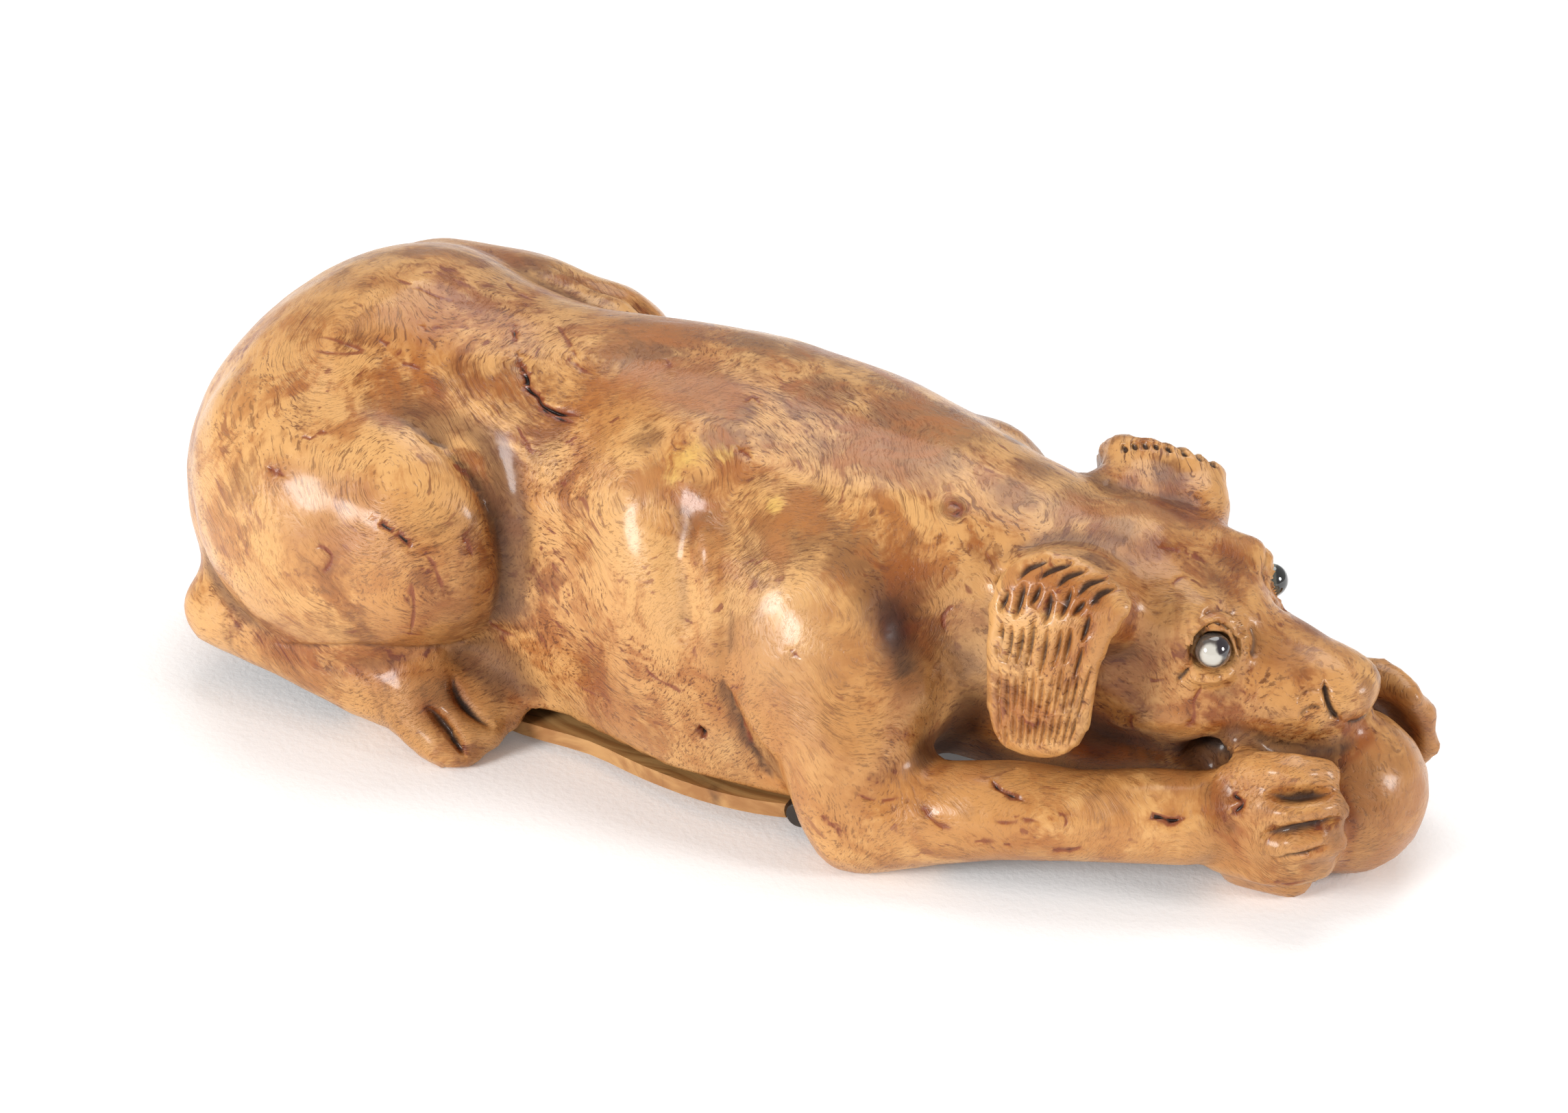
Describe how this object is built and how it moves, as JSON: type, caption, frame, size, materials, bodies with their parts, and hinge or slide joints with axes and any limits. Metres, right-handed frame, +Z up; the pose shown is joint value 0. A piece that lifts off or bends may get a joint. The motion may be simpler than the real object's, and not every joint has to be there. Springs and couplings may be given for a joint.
{
  "type": "snuff box",
  "caption": "Wooden snuff box carved as a lying dog with a ball under its chin, hollow body, hinged lid on the underside and glass bead eyes.",
  "frame": {"origin": "on the table plane, under the middle of the box's length and width", "axes": "+X along the dog towards its nose, +Y to the dog's left side, +Z up"},
  "size_m": [0.1256, 0.049, 0.0401],
  "materials": {
    "burr_wood": "polished golden brown burr with dark grain",
    "lid_wood": "rubbed, a little paler than the dog",
    "dark_hinge": "dark horn, worn smooth",
    "eye_glass": "milky glass bead with a dark spot"
  },
  "bodies": {
    "box": {"dog": "burr_wood", "hinge": "dark_hinge", "eye_left": "eye_glass", "eye_right": "eye_glass"},
    "lid": {"lid": "lid_wood"}
  },
  "joints": [
    {"name": "lid_hinge", "type": "hinge", "parent": "box", "child": "lid", "pos_m": [0.00908, -0.00026, 0.00255], "axis": [0, -1, 0], "range_deg": [-1.9, 100]}
  ]
}
